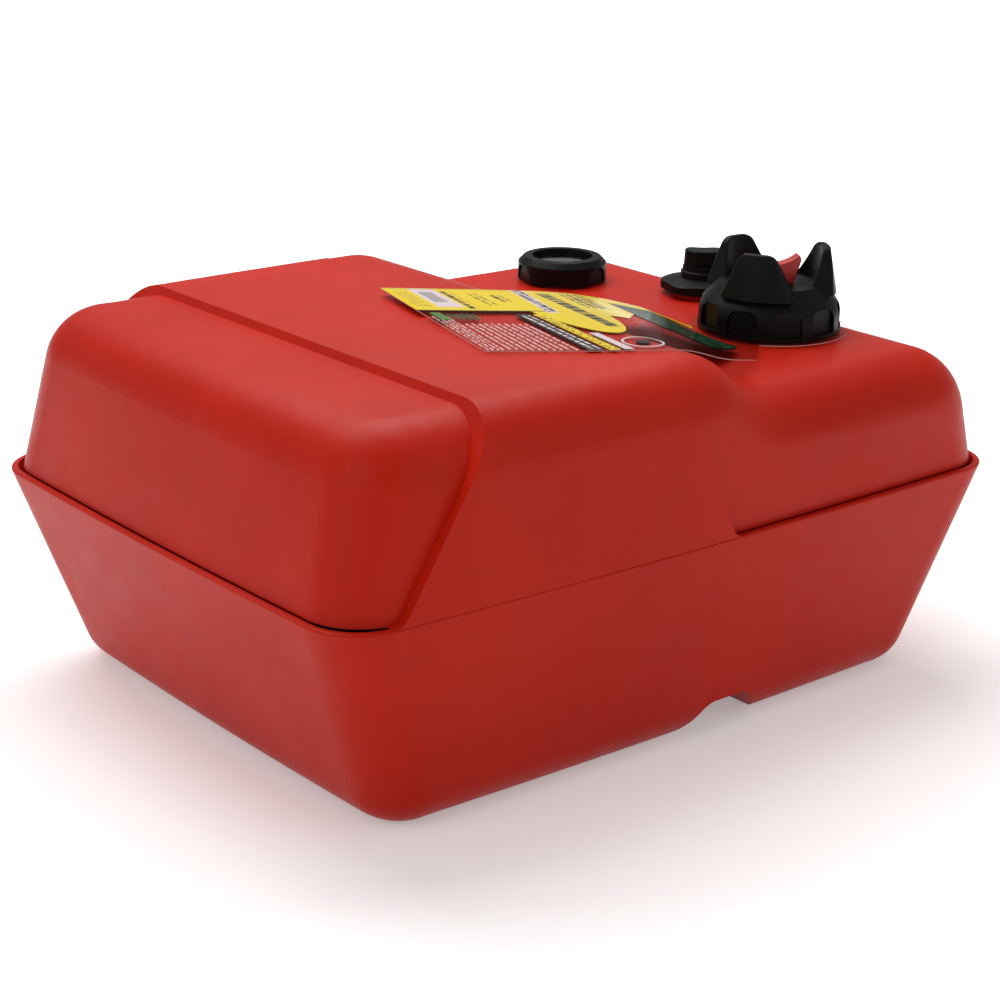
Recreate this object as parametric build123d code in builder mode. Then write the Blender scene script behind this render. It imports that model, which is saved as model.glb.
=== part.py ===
"""Portable outboard fuel tank: a blow-moulded shell with its cap, vent, fuel gauge and fuel pickup.

Frame: +Z up, +X along the tank towards the fitting deck, origin on the floor plane below the
middle of the tank. All sizes are in millimetres.
"""
from build123d import *
import os
from math import acos, asin, atan2, cos, hypot, radians, sin, sqrt, tan

os.makedirs("parts", exist_ok=True)

# ---------------------------------------------------------------- tank body
tank_length = 475.0
tank_width = 352.0
parting_height = 121.0          # ledge between the tub and the upper body
main_deck_height = 215.0
fitting_deck_height = 190.0
left_end_drop = 4.0             # top of the left end block below the main deck
wall = 4.0

floor_inset_left = 42.0         # how far the tub narrows from the rim to the floor
floor_inset_right = 50.0
floor_inset_side = 19.0
floor_edge_radius = 26.0
floor_corner_radius = 30.0
rim_corner_radius = 32.0
rim_edge_radius = 1.2           # softened rim of the tub, seen as the parting line
side_bow = 5.0                  # long sides bulge outward by this much at mid-length
end_bow = 3.0

ledge = 5.5                     # width of the ledge round both end blocks
crease_step = 0.6               # step between centre band and fitting end at deck level
side_lean = 4.0                 # long sides lean in by this much up to deck level
deck_edge_share = 0.34          # deck edge radius as a share of the upper body's height

left_end_lean = 20.0
left_top_corner_radius = 40.0
left_top_edge_share = 0.36
left_step_foot = 5.5            # foot of the left step line, from the end of the rim's corner
left_step_top_inset = 97.5      # where it meets the main deck, from the left end
left_step_corner_radius = 10.0

right_crease_low_inset = 224.5  # crease, from the right end, at the ledge and at the deck
right_crease_top_inset = 257.5
right_crease_corner_radius = 8.0

shoulder_inset = 223.5          # corner where the main deck turns down, from the right end
shoulder_radius = 48.0          # of the shoulder and of the valley at its foot
shoulder_share = 0.97           # part of the drop between the decks that the two radii take up
right_end_lean = 22.0
right_end_radius = 44.0

# ---------------------------------------------------------------- strap groove
groove_inset = 207.5            # middle of the groove, from the right end
groove_depth = 21.0
groove_mouth = 66.0
groove_roof = 30.0
groove_radius = 12.0

# ---------------------------------------------------------------- filler neck and cap
filler_inset = 91.5             # filler's axis, from the right end and from the near side
filler_side_inset = 112.0
filler_neck_radius = 31.0
filler_bore_radius = 26.5
filler_neck_height = 22.0
cap_radius = 41.5
cap_skirt_gap = 2.2             # skirt's lower edge above the deck
cap_shoulder_height = 16.0      # above the deck
cap_shoulder_radius = 14.0
cap_skirt_radius = 1.0          # softened lower edge of the skirt
cap_top_height = 29.0
cap_top_radius = 30.0
cap_dish_radius = 22.0          # shallow dish in the top round the vent knob
cap_dish_depth = 1.5
cap_thread_clearance = 0.8
cap_gasket_thickness = 2.0
scallop_count = 10
scallop_width = 18.5
scallop_depth = 3.0
scallop_low = 4.5
scallop_high = 18.5
scallop_corner_radius = 6.0
scallop_turn = 22.0             # angle of the first scallop about the cap's axis
fin_count = 3
fin_turn = 88.0
fin_height = 50.0               # above the deck
fin_base_width = 42.0
fin_top_width = 19.0
fin_top_radius = 7.0
fin_inner_base = 25.0           # radii of the fin's inner and outer faces
fin_inner_top = 29.0
fin_outer_top = 33.0
fin_outer_base = 38.0
fin_edge_radius = 1.3

# ---------------------------------------------------------------- vent
vent_hub_radius = 9.0
vent_hub_drop = 9.0             # hub's length below the cap's ceiling
vent_floor = 2.0
vent_hole_radius = 1.5
vent_stem_radius = 4.0
running_clearance = 0.06
vent_seal_thickness = 2.0
vent_lift = 2.5
knob_flange_radius = 9.0
knob_flange_thickness = 3.0
knob_length = 33.0
knob_thickness = 9.0
knob_height = 45.0              # top of the wings above the deck
knob_dip = 6.0
knob_foot_inset = 4.0           # wing ends lean out from foot to tip
knob_tip_inset = 1.0
knob_tip_height = 4.0
knob_edge_radius = 1.2
knob_turn = -34.0

# ---------------------------------------------------------------- neck tag
tag_ring_radius = 46.0
tag_hole_clearance = 1.0
tag_thickness = 0.6
tag_lift = 1.0                  # sheet's underside above the decks
tag_fold_margin = 30.0          # from the ring back to where the sheet leaves the lower deck
tag_corner_radius = 6.0
tag_far_corner = (-194.0, 118.0)    # corners of the sheet, from the filler's axis
tag_near_corner = (-229.0, -20.0)
tag_notch = (-84.0, -63.0)
tag_notch_inner = (-37.0, -27.0)
tag_far_neck = (-23.0, 36.0)
tag_far_shoulder = (-25.0, 83.0)
tag_far_middle = (-34.0, 111.0)
tag_gauge_corner = (-45.0, 134.0)

# ---------------------------------------------------------------- fuel gauge
gauge_inset = 109.5             # gauge's axis, from the right end and from the far side
gauge_side_inset = 76.0
gauge_neck_radius = 23.5
gauge_bore_radius = 20.0
gauge_neck_height = 7.5
gauge_ring_radius = 27.8
gauge_ring_height = 16.0
gauge_ring_gap = 1.0
gauge_ring_window = 19.0
gauge_ring_chamfer = 3.5
gauge_ring_edge_radius = 1.0
gauge_lobe_count = 6
gauge_lobe_turn = 44.0
gauge_scallop_width = 17.0
gauge_scallop_depth = 2.2
gauge_scallop_high = 11.5
gauge_scallop_corner_radius = 7.0
gauge_thread_clearance = 0.6
gauge_gasket_thickness = 1.5
housing_flange_thickness = 2.0
housing_wall = 2.0
lens_thickness = 2.0
dial_thickness = 1.0
pointer_gap = 1.2
pointer_thickness = 1.5
pointer_length = 13.5
pointer_width = 2.4
pointer_hub_radius = 3.2
fit_gap = 0.3                   # clearance between pieces that simply lie beside each other

spindle_radius = 1.5
strip_width = 6.0
strip_thickness = 0.9
pointer_sweep = 270.0           # pointer's turn over the float's full travel
strip_sections = 20
rod_radius = 1.8
rod_offset = 12.0
foot_radius = 17.0
foot_thickness = 3.0
foot_above_floor = 4.0
drain_hole_radius = 3.0         # fuel passes the foot plate through two of these
float_radius = 16.5
float_height = 26.0
float_gap = 2.0                 # float's underside above the foot, and its top below the housing
float_hole_radius = 4.5
slot_plate_thickness = 1.6
slot_clearance = 0.4

# ---------------------------------------------------------------- fuel pickup
pickup_inset = 61.5             # pickup's axis, from the right end
pickup_y = 22.0
pickup_boss_radius = 20.0
pickup_boss_height = 2.0
pickup_boss_drop = 12.0
pickup_bore_radius = 14.0
pickup_gasket_thickness = 1.5
pickup_base_radius = 28.5       # over the corners of its hexagon
pickup_base_corner_radius = 14.0
pickup_base_rim = 4.0
pickup_base_height = 7.5
pickup_base_top_radius = 15.0
pickup_dome_radius = 4.5
pickup_base_turn = 10.0
collar_radius = 14.0
collar_chamfer = 1.0
collar_height = 4.5
collar_shank_radius = 9.0
plug_shank_radius = 6.9
plug_bore_radius = 7.0
plug_shank_length = 8.0
plug_flange_radius = 13.0
plug_flange_thickness = 2.0
plug_grip_length = 25.0
plug_grip_width = 16.0
plug_grip_height = 11.0
plug_grip_dip = 1.0
plug_grip_taper = 3.0           # degrees
plug_grip_edge_radius = 1.2
plug_grip_turn = -38.0
oring_radius = 0.7
tube_radius = 5.0
tube_bore_radius = 3.5
tube_offset = 24.0              # the tube bends this far towards the middle of the floor
tube_bend_radius = 35.0
tube_bend_drop = 85.0           # start of the bend below the fitting deck
tube_bend_run = 50.0            # height of the slanting stretch
screen_radius = 9.0
screen_wall = 1.0
screen_floor_gap = 3.0          # above the tank's inner floor
screen_height = 22.0
screen_slot_count = 12
screen_slot_width = 2.0
tube_end_gap = 8.0              # tube's lower end above the screen's

# ---------------------------------------------------------------- places worked out from the above
half_length = tank_length / 2
half_width = tank_width / 2
side_bow_radius = (half_length ** 2 + side_bow ** 2) / (2 * side_bow)
upper_height = main_deck_height - parting_height
deck_drop = main_deck_height - fitting_deck_height
deck_edge_radius = deck_edge_share * upper_height
left_top_edge_radius = left_top_edge_share * upper_height
shoulder_slope = acos(1 - shoulder_share * deck_drop / (2 * shoulder_radius))
left_step_low = rim_corner_radius + left_step_foot - half_length
left_step_top = left_step_top_inset - half_length
right_crease_low = half_length - right_crease_low_inset
right_crease_top = half_length - right_crease_top_inset
shoulder_start = half_length - shoulder_inset
groove_x = half_length - groove_inset
filler_x = half_length - filler_inset
filler_y = filler_side_inset - half_width
gauge_x = half_length - gauge_inset
gauge_y = half_width - gauge_side_inset
pickup_x = half_length - pickup_inset
overrun = 30.0                  # how far cutting tools reach past the tank
near = 0.1                      # tolerance for picking corners and edges by their place


def side_reach(half, x):
    """Half width of a bowed side at x, for a side that reaches half at mid-length."""
    return half - side_bow_radius + sqrt(side_bow_radius ** 2 - x ** 2)


def plan_outline(height, x_left, x_right, half, corner_radius):
    """Horizontal section of the tank: a rounded rectangle with gently bowed sides."""
    corner_left = x_left + end_bow
    corner_right = x_right - end_bow
    y_left = side_reach(half, corner_left)
    y_right = side_reach(half, corner_right)
    with BuildSketch(Plane.XY.offset(height)) as outline:
        with BuildLine():
            ThreePointArc((corner_left, -y_left), (0, -half), (corner_right, -y_right))
            ThreePointArc((corner_right, -y_right), (x_right, 0), (corner_right, y_right))
            ThreePointArc((corner_right, y_right), (0, half), (corner_left, y_left))
            ThreePointArc((corner_left, y_left), (x_left, 0), (corner_left, -y_left))
        make_face()
        fillet(outline.vertices(), corner_radius)
    return outline.sketch


def tub_body(skin):
    """Lower half, from floor to parting line, drawn skin millimetres inside the outer surface."""
    with BuildPart() as tub:
        loft(
            sections=[
                plan_outline(
                    skin,
                    -half_length + floor_inset_left + skin,
                    half_length - floor_inset_right - skin,
                    half_width - floor_inset_side - skin,
                    floor_corner_radius - skin,
                ),
                plan_outline(
                    parting_height,
                    -half_length + skin,
                    half_length - skin,
                    half_width - skin,
                    rim_corner_radius - skin,
                ),
            ],
            ruled=True,
        )
        fillet(tub.faces().sort_by(Axis.Z)[0].edges(), floor_edge_radius - skin)
        if skin == 0:
            fillet(tub.faces().sort_by(Axis.Z)[-1].edges(), rim_edge_radius)
    return tub.part


def deck_block(skin, low_inset, top_inset):
    """Upper body under the stepped deck, with leaning sides and rounded deck edges."""
    deck = main_deck_height - skin
    fitting_deck = fitting_deck_height - skin
    slope_shift = skin * tan(shoulder_slope / 2)
    shoulder_end = shoulder_start + deck_drop / tan(shoulder_slope)
    end_low = half_length - low_inset - skin
    end_top = end_low - right_end_lean
    with BuildPart() as block:
        loft(
            sections=[
                plan_outline(
                    level,
                    -half_length - overrun,
                    half_length + overrun,
                    half_width - inset - skin,
                    overrun / 2,
                )
                for level, inset in (
                    (parting_height, low_inset),
                    (main_deck_height, top_inset + side_lean),
                )
            ],
            ruled=True,
        )
        with BuildSketch(Plane.XZ) as profile:
            with BuildLine():
                Polyline(
                    (-half_length, parting_height),
                    (-half_length, deck),
                    (shoulder_start - slope_shift, deck),
                    (shoulder_end - slope_shift, fitting_deck),
                    (end_top, fitting_deck),
                    (end_low, parting_height),
                    close=True,
                )
            make_face()
            upper_corners = profile.vertices().group_by(Axis.Y)[-1].sort_by(Axis.X)
            fillet(upper_corners[-1], shoulder_radius - skin)
            lower_corners = profile.vertices().filter_by(
                lambda corner: abs(corner.Y - fitting_deck) < near
            )
            fillet(lower_corners.sort_by(Axis.X)[0], shoulder_radius + skin)
            lower_corners = profile.vertices().filter_by(
                lambda corner: abs(corner.Y - fitting_deck) < near
            )
            fillet(lower_corners.sort_by(Axis.X)[-1], right_end_radius - skin)
        extrude(amount=half_width + overrun, both=True, mode=Mode.INTERSECT)
        deck_edges = [
            edge
            for edge in block.edges()
            if abs(edge.center().Y) > half_width / 2
            and edge.center().Z > parting_height + near
            and edge.center().X > -half_length + near
        ]
        fillet(deck_edges, deck_edge_radius - skin)
    return block.part


def left_block(skin):
    """Upper body of the left end: set in from the tub all round and a little lower on top."""
    with BuildPart() as block:
        loft(
            sections=[
                plan_outline(
                    parting_height,
                    -half_length + ledge + skin,
                    half_length,
                    half_width - ledge - skin,
                    rim_corner_radius - skin,
                ),
                plan_outline(
                    main_deck_height - left_end_drop - skin,
                    -half_length + ledge + left_end_lean + skin,
                    half_length,
                    half_width - ledge - side_lean - skin,
                    left_top_corner_radius - skin,
                ),
            ],
            ruled=True,
        )
        fillet(block.faces().sort_by(Axis.Z)[-1].edges(), left_top_edge_radius - skin)
    return block.part


def end_region(low_x, top_x, side, corner_radius, shift):
    """Block of space on one side of a leaning step line; side is -1 for left and 1 for right."""
    reach = side * (half_length + overrun)
    lean = (top_x - low_x) / (main_deck_height - parting_height)
    top = main_deck_height + overrun
    low = low_x - side * shift
    with BuildPart() as region:
        with BuildSketch(Plane.XZ) as profile:
            with BuildLine():
                Polyline(
                    (reach, parting_height),
                    (reach, top),
                    (low + lean * (top - parting_height), top),
                    (low, parting_height),
                    close=True,
                )
            make_face()
            inner_corner = profile.vertices().group_by(Axis.Y)[0].sort_by(Axis.X)
            fillet(inner_corner[-1 if side < 0 else 0], corner_radius)
        extrude(amount=half_width + overrun, both=True)
    return region.part


def tank_solid(skin):
    """The whole body, drawn skin millimetres inside the outer surface."""
    left = end_region(left_step_low, left_step_top, -1, left_step_corner_radius, skin)
    right = end_region(right_crease_low, right_crease_top, 1, right_crease_corner_radius, skin)
    with BuildPart() as left_end:
        add(left_block(skin))
        add(left, mode=Mode.INTERSECT)
    with BuildPart() as right_end:
        add(deck_block(skin, ledge, crease_step))
        add(right, mode=Mode.INTERSECT)
    with BuildPart() as centre_band:
        add(deck_block(skin, 0, 0))
        add(left, mode=Mode.SUBTRACT)
        add(right, mode=Mode.SUBTRACT)
    with BuildPart() as body:
        add(tub_body(skin))
        add(left_end.part)
        add(right_end.part)
        add(centre_band.part)
    return body.part


def groove_tool(skin):
    """Rounded channel across the floor; skin widens it so that the wall keeps its thickness."""
    half_mouth = groove_mouth / 2 + skin
    half_roof = groove_roof / 2 + skin
    apron = half_mouth + 2 * groove_radius
    roof = groove_depth + skin
    with BuildPart() as tool:
        with BuildSketch(Plane.XZ) as profile:
            with BuildLine():
                Polyline(
                    (groove_x - apron, -overrun),
                    (groove_x - apron, skin),
                    (groove_x - half_mouth, skin),
                    (groove_x - half_roof, roof),
                    (groove_x + half_roof, roof),
                    (groove_x + half_mouth, skin),
                    (groove_x + apron, skin),
                    (groove_x + apron, -overrun),
                    close=True,
                )
            make_face()
            roof_corners = profile.vertices().group_by(Axis.Y)[-1]
            fillet(roof_corners, groove_radius + skin)
            mouth_corners = profile.vertices().filter_by(
                lambda corner: abs(corner.Y - skin) < near and abs(corner.X - groove_x) < half_mouth + near
            )
            fillet(mouth_corners, groove_radius - skin)
        extrude(amount=half_width + overrun, both=True)
    return tool.part


upright = (Align.CENTER, Align.CENTER, Align.MIN)
fitting_plane = Plane.XY.offset(fitting_deck_height)


def upright_profile(x, y, turn=0):
    """Vertical plane through the axis of a fitting; its origin lies on the fitting deck."""
    direction = (cos(radians(turn)), sin(radians(turn)), 0)
    normal = (sin(radians(turn)), -cos(radians(turn)), 0)
    return Plane(origin=(x, y, fitting_deck_height), x_dir=direction, z_dir=normal)


def tangent_plane(x, y, radius, turn):
    """Vertical plane that faces outward at a radius from a fitting's axis."""
    outward = (cos(radians(turn)), sin(radians(turn)), 0)
    along = (-sin(radians(turn)), cos(radians(turn)), 0)
    origin = (x + radius * outward[0], y + radius * outward[1], fitting_deck_height)
    return Plane(origin=origin, x_dir=along, z_dir=outward)


def scallop_tools(x, y, radius, count, turn, width, low, high, corner_radius):
    """Arch-topped cutters that stand round a fitting and start at the given radius."""
    with BuildPart() as tools:
        for index in range(count):
            with BuildSketch(tangent_plane(x, y, radius, turn + index * 360 / count)) as arch:
                with BuildLine():
                    Polyline(
                        (-width / 2, low),
                        (-width / 2, high),
                        (width / 2, high),
                        (width / 2, low),
                        close=True,
                    )
                make_face()
                fillet(arch.vertices().group_by(Axis.Y)[-1], corner_radius)
            extrude(amount=width)
    return tools.part


# ---------------------------------------------------------------- tank shell
outer_body = tank_solid(0)
with BuildPart() as cavity:
    add(tank_solid(wall))
    add(groove_tool(wall), mode=Mode.SUBTRACT)

with BuildPart() as tank_shell:
    add(outer_body)
    add(groove_tool(0), mode=Mode.SUBTRACT)
    with Locations((filler_x, filler_y, fitting_deck_height - wall)):
        Cylinder(filler_neck_radius, wall + filler_neck_height, align=upright)
    with Locations((gauge_x, gauge_y, fitting_deck_height - wall)):
        Cylinder(gauge_neck_radius, wall + gauge_neck_height, align=upright)
    add(cavity.part, mode=Mode.SUBTRACT)
    with Locations((pickup_x, pickup_y, fitting_deck_height - pickup_boss_drop)):
        Cylinder(pickup_boss_radius, pickup_boss_drop + pickup_boss_height, align=upright)
    with Locations((filler_x, filler_y, fitting_deck_height)):
        Cylinder(filler_bore_radius, 2 * overrun + filler_neck_height, mode=Mode.SUBTRACT)
    with Locations((gauge_x, gauge_y, fitting_deck_height)):
        Cylinder(gauge_bore_radius, 2 * overrun + gauge_neck_height, mode=Mode.SUBTRACT)
    with Locations((pickup_x, pickup_y, fitting_deck_height)):
        Cylinder(pickup_bore_radius, 2 * overrun + pickup_boss_height, mode=Mode.SUBTRACT)
tank_shell.part.label = "tank_shell"
export_step(tank_shell.part, "parts/tank_shell.step")
print("brimful litres", cavity.part.volume / 1e6)

# ---------------------------------------------------------------- filler cap
cap_ceiling = filler_neck_height + cap_gasket_thickness
cap_bore_radius = filler_neck_radius + cap_thread_clearance
cap_floor = cap_top_height - cap_dish_depth
vent_seat = cap_ceiling - vent_hub_drop + vent_floor

with BuildPart() as fins:
    for fin in range(fin_count):
        fin_plane = tangent_plane(filler_x, filler_y, 0, fin_turn + fin * 360 / fin_count)
        with BuildSketch(fin_plane) as fin_face:
            with BuildLine():
                Polyline(
                    (-fin_base_width / 2, cap_ceiling),
                    (-fin_top_width / 2, fin_height),
                    (fin_top_width / 2, fin_height),
                    (fin_base_width / 2, cap_ceiling),
                    close=True,
                )
            make_face()
            fillet(fin_face.vertices().group_by(Axis.Y)[-1], fin_top_radius)
        extrude(amount=cap_radius)
    with BuildSketch(upright_profile(filler_x, filler_y)):
        with BuildLine():
            Polyline(
                (fin_inner_base, cap_ceiling),
                (fin_inner_top, fin_height),
                (fin_outer_top, fin_height),
                (fin_outer_base, cap_ceiling),
                close=True,
            )
        make_face()
    revolve(axis=Axis((filler_x, filler_y, 0), (0, 0, 1)), mode=Mode.INTERSECT)
    fin_edges = fins.edges().filter_by(
        lambda edge: edge.center().Z > fitting_deck_height + cap_ceiling + fin_edge_radius
    )
    fillet(fin_edges, fin_edge_radius)

with BuildPart() as filler_cap:
    with BuildSketch(upright_profile(filler_x, filler_y)) as cap_section:
        with BuildLine():
            Polyline(
                (0, cap_ceiling - vent_hub_drop),
                (vent_hub_radius, cap_ceiling - vent_hub_drop),
                (vent_hub_radius, cap_ceiling),
                (cap_bore_radius, cap_ceiling),
                (cap_bore_radius, cap_skirt_gap),
                (cap_radius, cap_skirt_gap),
                (cap_radius, cap_shoulder_height),
                (cap_top_radius, cap_top_height),
                (cap_dish_radius, cap_top_height),
                (cap_dish_radius - cap_dish_depth, cap_floor),
                (0, cap_floor),
                close=True,
            )
        make_face()
        shoulder = cap_section.vertices().group_by(Axis.X)[-1].sort_by(Axis.Y)
        fillet(shoulder[-1], cap_shoulder_radius)
        fillet(shoulder[0], cap_skirt_radius)
    revolve(axis=Axis((filler_x, filler_y, 0), (0, 0, 1)))
    add(scallop_tools(filler_x, filler_y, cap_radius - scallop_depth, scallop_count, scallop_turn,
                      scallop_width, scallop_low, scallop_high, scallop_corner_radius),
        mode=Mode.SUBTRACT)
    add(fins.part)
    with Locations((filler_x, filler_y, fitting_deck_height + vent_seat)):
        Cylinder(vent_stem_radius + running_clearance, cap_top_height, align=upright, mode=Mode.SUBTRACT)
        Cylinder(vent_hole_radius, 4 * vent_floor, mode=Mode.SUBTRACT)
filler_cap.part.label = "filler_cap"
export_step(filler_cap.part, "parts/filler_cap.step")

with BuildPart() as cap_gasket:
    with Locations((filler_x, filler_y, fitting_deck_height + filler_neck_height)):
        Cylinder(filler_neck_radius, cap_gasket_thickness, align=upright)
        Cylinder(filler_bore_radius, cap_gasket_thickness, align=upright, mode=Mode.SUBTRACT)
cap_gasket.part.label = "cap_gasket"
export_step(cap_gasket.part, "parts/cap_gasket.step")

# ---------------------------------------------------------------- vent knob and its seal
knob_base = cap_floor + fit_gap
knob_end = knob_length / 2
stem_low = vent_seat + vent_seal_thickness

with BuildPart() as vent_knob:
    with BuildSketch(upright_profile(filler_x, filler_y, knob_turn)):
        with BuildLine():
            Polyline(
                (-knob_end + knob_foot_inset, knob_base),
                (-knob_end, knob_height - knob_tip_height),
                (-knob_end + knob_tip_inset, knob_height),
            )
            ThreePointArc(
                (-knob_end + knob_tip_inset, knob_height),
                (0, knob_height - knob_dip),
                (knob_end - knob_tip_inset, knob_height),
            )
            Polyline(
                (knob_end - knob_tip_inset, knob_height),
                (knob_end, knob_height - knob_tip_height),
                (knob_end - knob_foot_inset, knob_base),
                (-knob_end + knob_foot_inset, knob_base),
            )
        make_face()
    extrude(amount=knob_thickness / 2, both=True)
    wing_edges = vent_knob.edges().filter_by(
        lambda edge: edge.center().Z > fitting_deck_height + knob_base + knob_edge_radius
    )
    fillet(wing_edges, knob_edge_radius)
    with Locations((filler_x, filler_y, fitting_deck_height + knob_base)):
        Cylinder(knob_flange_radius, knob_flange_thickness, align=upright)
    with Locations((filler_x, filler_y, fitting_deck_height + stem_low)):
        Cylinder(vent_stem_radius, knob_base + knob_flange_thickness - stem_low, align=upright)
vent_knob.part.label = "vent_knob"
export_step(vent_knob.part, "parts/vent_knob.step")

with BuildPart() as vent_seal:
    with Locations((filler_x, filler_y, fitting_deck_height + vent_seat)):
        Cylinder(vent_stem_radius, vent_seal_thickness, align=upright)
vent_seal.part.label = "vent_seal"
export_step(vent_seal.part, "parts/vent_seal.step")

# ---------------------------------------------------------------- neck tag
# the sheet bends down over the shoulder's rounding and runs straight on to the lower deck
tag_fold_radius = shoulder_radius + tag_lift
tag_fold_centre = shoulder_start - shoulder_radius * tan(shoulder_slope / 2)
tag_fold_end = filler_x - tag_ring_radius - tag_fold_margin
fold_reach = tag_fold_end - tag_fold_centre
fold_rise = tag_fold_radius - deck_drop
tag_slope = asin(tag_fold_radius / hypot(fold_reach, fold_rise)) - atan2(fold_rise, fold_reach)
tag_fold_start = tag_fold_centre + tag_fold_radius * tan(tag_slope / 2)

with BuildPart() as neck_tag:
    with BuildSketch(Plane(origin=(filler_x, filler_y, 0))) as tag_outline:
        with BuildLine():
            Polyline(
                tag_far_corner,
                tag_near_corner,
                tag_notch,
                tag_notch_inner,
                (0, 0),
                tag_far_neck,
                tag_far_shoulder,
                tag_far_middle,
                tag_gauge_corner,
                close=True,
            )
        make_face()
        ends = tag_outline.vertices().sort_by(Axis.X)
        fillet(ends[:2], tag_corner_radius)
        Circle(tag_ring_radius)
        Circle(filler_neck_radius + tag_hole_clearance, mode=Mode.SUBTRACT)
    extrude(amount=main_deck_height + overrun)
    with BuildSketch(Plane.XZ) as tag_section:
        with BuildLine() as tag_line:
            FilletPolyline(
                (-half_length, main_deck_height + tag_lift),
                (tag_fold_start, main_deck_height + tag_lift),
                (tag_fold_end, fitting_deck_height + tag_lift),
                (half_length, fitting_deck_height + tag_lift),
                radius=tag_fold_radius,
            )
            offset(amount=tag_thickness, side=Side.LEFT)
        make_face()
    extrude(amount=half_width, both=True, mode=Mode.INTERSECT)
neck_tag.part.label = "neck_tag"
export_step(neck_tag.part, "parts/neck_tag.step")

# ---------------------------------------------------------------- fuel gauge
gauge_axis = Axis((gauge_x, gauge_y, 0), (0, 0, 1))
gasket_top = gauge_neck_height + gauge_gasket_thickness
flange_top = gasket_top + housing_flange_thickness
lens_top = flange_top + lens_thickness
ring_bore_radius = gauge_neck_radius + gauge_thread_clearance
cup_radius = gauge_bore_radius - fit_gap
pointer_low = housing_wall + dial_thickness + pointer_gap
foot_low = wall + foot_above_floor - fitting_deck_height
foot_top = foot_low + foot_thickness
float_low = foot_top + float_gap
float_travel = -float_gap - float_height - float_low
strip_rate = pointer_sweep / float_travel
slot_level = float_low + float_height - slot_plate_thickness / 2
strip_low = foot_top + fit_gap
strip_high = -housing_wall

with BuildPart() as gauge_ring:
    with BuildSketch(upright_profile(gauge_x, gauge_y)) as ring_section:
        with BuildLine():
            Polyline(
                (ring_bore_radius, gauge_ring_gap),
                (gauge_ring_radius, gauge_ring_gap),
                (gauge_ring_radius, gauge_ring_height - gauge_ring_chamfer),
                (gauge_ring_radius - gauge_ring_chamfer, gauge_ring_height),
                (gauge_ring_window, gauge_ring_height),
                (gauge_ring_window, lens_top),
                (ring_bore_radius, lens_top),
                close=True,
            )
        make_face()
        rims = ring_section.vertices().sort_by(Axis.X)[-3:]
        fillet(rims, gauge_ring_edge_radius)
    revolve(axis=gauge_axis)
    add(scallop_tools(gauge_x, gauge_y, gauge_ring_radius - gauge_scallop_depth, gauge_lobe_count,
                      gauge_lobe_turn, gauge_scallop_width, 0, gauge_scallop_high,
                      gauge_scallop_corner_radius),
        mode=Mode.SUBTRACT)
gauge_ring.part.label = "gauge_ring"
export_step(gauge_ring.part, "parts/gauge_ring.step")

with BuildPart() as gauge_gasket:
    with Locations((gauge_x, gauge_y, fitting_deck_height + gauge_neck_height)):
        Cylinder(gauge_neck_radius, gauge_gasket_thickness, align=upright)
        Cylinder(gauge_bore_radius, gauge_gasket_thickness, align=upright, mode=Mode.SUBTRACT)
gauge_gasket.part.label = "gauge_gasket"
export_step(gauge_gasket.part, "parts/gauge_gasket.step")

with BuildPart() as gauge_housing:
    with BuildSketch(upright_profile(gauge_x, gauge_y)):
        with BuildLine():
            Polyline(
                (spindle_radius + running_clearance, 0),
                (cup_radius, 0),
                (cup_radius, gasket_top),
                (gauge_neck_radius, gasket_top),
                (gauge_neck_radius, flange_top),
                (cup_radius - housing_wall, flange_top),
                (cup_radius - housing_wall, housing_wall),
                (spindle_radius + running_clearance, housing_wall),
                close=True,
            )
        make_face()
    revolve(axis=gauge_axis)
gauge_housing.part.label = "gauge_housing"
export_step(gauge_housing.part, "parts/gauge_housing.step")

with BuildPart() as gauge_lens:
    with Locations((gauge_x, gauge_y, fitting_deck_height + flange_top)):
        Cylinder(gauge_neck_radius, lens_thickness, align=upright)
gauge_lens.part.label = "gauge_lens"
export_step(gauge_lens.part, "parts/gauge_lens.step")

with BuildPart() as gauge_dial:
    with Locations((gauge_x, gauge_y, fitting_deck_height + housing_wall)):
        Cylinder(cup_radius - housing_wall - fit_gap, dial_thickness, align=upright)
        Cylinder(spindle_radius + fit_gap, dial_thickness, align=upright, mode=Mode.SUBTRACT)
gauge_dial.part.label = "gauge_dial"
export_step(gauge_dial.part, "parts/gauge_dial.step")

with BuildPart() as gauge_pointer:
    with BuildSketch(fitting_plane.offset(pointer_low)):
        with Locations((gauge_x, gauge_y)):
            Circle(pointer_hub_radius)
        with Locations((gauge_x + pointer_length / 2, gauge_y)):
            Rectangle(pointer_length, pointer_width)
        with Locations((gauge_x, gauge_y)):
            Circle(spindle_radius, mode=Mode.SUBTRACT)
    extrude(amount=pointer_thickness)
gauge_pointer.part.label = "gauge_pointer"
export_step(gauge_pointer.part, "parts/gauge_pointer.step")


def strip_section(level):
    """Cross section of the twisted strip; it lies along X where the float's slot is at rest."""
    turn = strip_rate * (level - slot_level)
    with BuildSketch(fitting_plane.offset(level)) as section:
        with Locations(Location((gauge_x, gauge_y), turn)):
            Rectangle(strip_width, strip_thickness)
    return section.sketch


with BuildPart() as gauge_spindle:
    loft(
        sections=[
            strip_section(strip_low + (strip_high - strip_low) * index / strip_sections)
            for index in range(strip_sections + 1)
        ],
        ruled=True,
    )
    with Locations((gauge_x, gauge_y, fitting_deck_height + strip_high)):
        Cylinder(spindle_radius, pointer_low + pointer_thickness - strip_high, align=upright)
    with Locations((gauge_x, gauge_y, fitting_deck_height + foot_low)):
        Cylinder(spindle_radius, strip_low - foot_low, align=upright)
gauge_spindle.part.label = "gauge_spindle"
export_step(gauge_spindle.part, "parts/gauge_spindle.step")

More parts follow.
